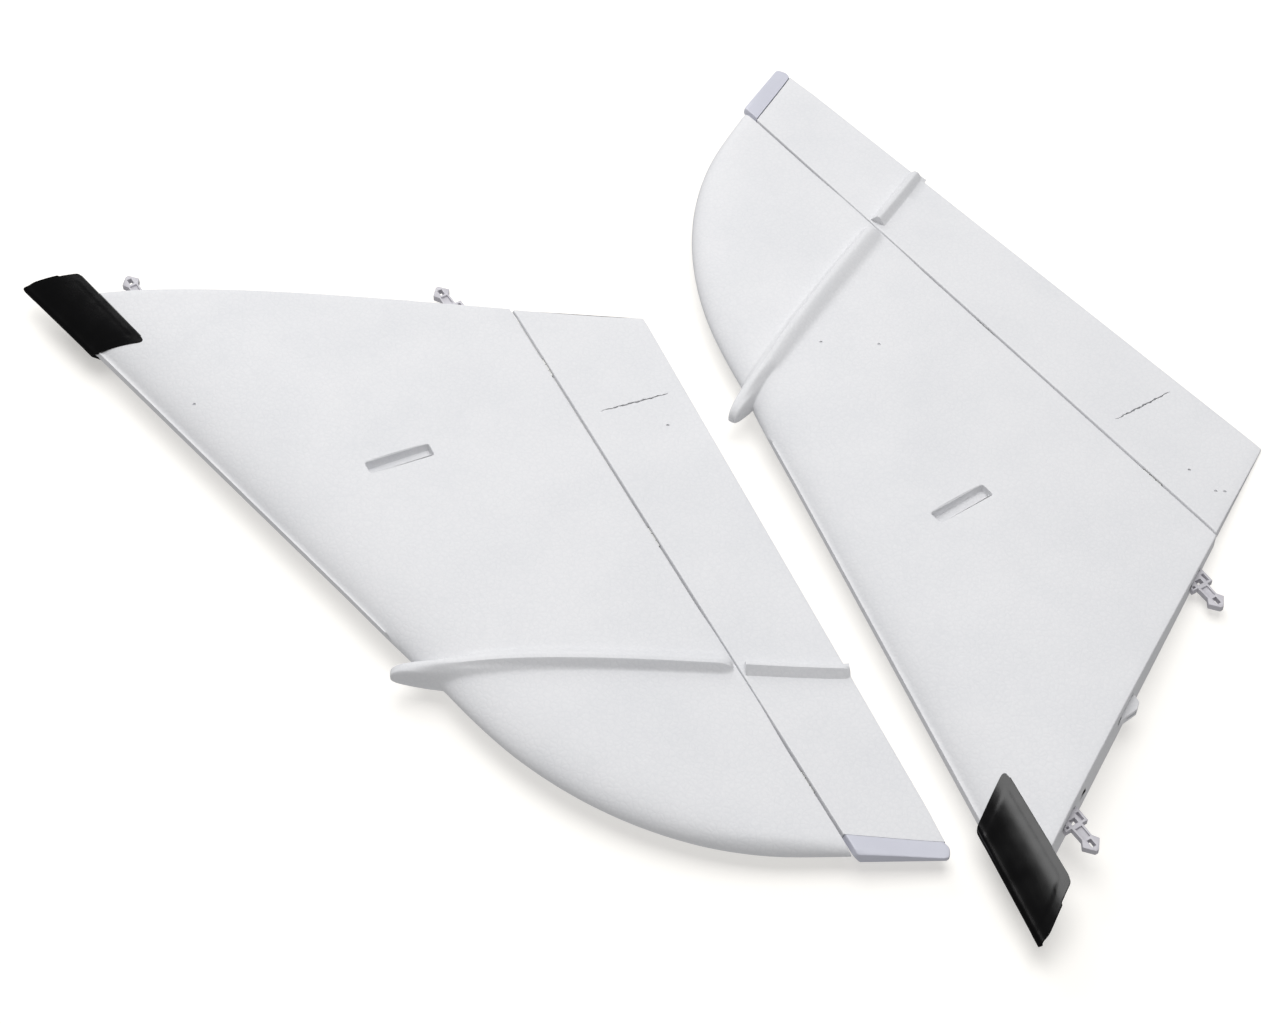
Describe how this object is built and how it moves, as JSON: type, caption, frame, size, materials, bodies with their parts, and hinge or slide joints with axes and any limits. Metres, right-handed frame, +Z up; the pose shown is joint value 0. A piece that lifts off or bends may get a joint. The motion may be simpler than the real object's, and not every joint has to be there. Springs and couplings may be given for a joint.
{
  "type": "flying wing panel pair",
  "caption": "Mirrored moulded-foam wing panels for a small flying wing, with hinged elevons, raised fences, black nose caps and snap clips on the root faces",
  "frame": {"origin": "centre of the pair's bounding box, on the surface that the panels stand on", "axes": "+X along the row of the two panels, from the left panel to the right one; +Y away from the viewer, the way the left panel's root faces; +Z up"},
  "size_m": [0.6199, 0.5529, 0.0273],
  "materials": {
    "foam": "moulded bead foam, fine mottled matt skin",
    "tip_cap": "satin pale lavender-grey moulding",
    "black_cap": "gloss black moulding",
    "clip": "satin light grey moulding",
    "hinge": "natural white nylon",
    "carbon": "pultruded carbon tube",
    "steel": "bright drawn wire"
  },
  "bodies": {
    "wing_pair": {"left_wing_panel": "foam", "left_nose_cap": "black_cap", "left_root_tab": "foam", "left_front_clip": "clip", "left_aft_clip": "clip", "left_spar_tube": "carbon", "left_hinge_1_fixed_leaf": "hinge", "left_hinge_1_pin": "steel", "left_hinge_2_fixed_leaf": "hinge", "left_hinge_2_pin": "steel", "left_hinge_3_fixed_leaf": "hinge", "left_hinge_3_pin": "steel", "right_wing_panel": "foam", "right_nose_cap": "black_cap", "right_root_tab": "foam", "right_front_clip": "clip", "right_aft_clip": "clip", "right_spar_tube": "carbon", "right_hinge_1_fixed_leaf": "hinge", "right_hinge_1_pin": "steel", "right_hinge_2_fixed_leaf": "hinge", "right_hinge_2_pin": "steel", "right_hinge_3_fixed_leaf": "hinge", "right_hinge_3_pin": "steel"},
    "left_elevon_body": {"left_elevon": "foam", "left_elevon_tip_cap": "tip_cap", "left_hinge_1_moving_leaf": "hinge", "left_hinge_2_moving_leaf": "hinge", "left_hinge_3_moving_leaf": "hinge"},
    "right_elevon_body": {"right_elevon": "foam", "right_elevon_tip_cap": "tip_cap", "right_hinge_1_moving_leaf": "hinge", "right_hinge_2_moving_leaf": "hinge", "right_hinge_3_moving_leaf": "hinge"}
  },
  "joints": [
    {"name": "left_elevon_hinge", "type": "hinge", "parent": "wing_pair", "child": "left_elevon_body", "pos_m": [0.01154, -0.05234, 0.00886], "axis": [0.4348, -0.9005, 0.0119], "range_deg": [-25, 25]},
    {"name": "right_elevon_hinge", "type": "hinge", "parent": "wing_pair", "child": "right_elevon_body", "pos_m": [0.17938, 0.08207, 0.00886], "axis": [0.6007, -0.7993, -0.0119], "range_deg": [-25, 25]}
  ]
}
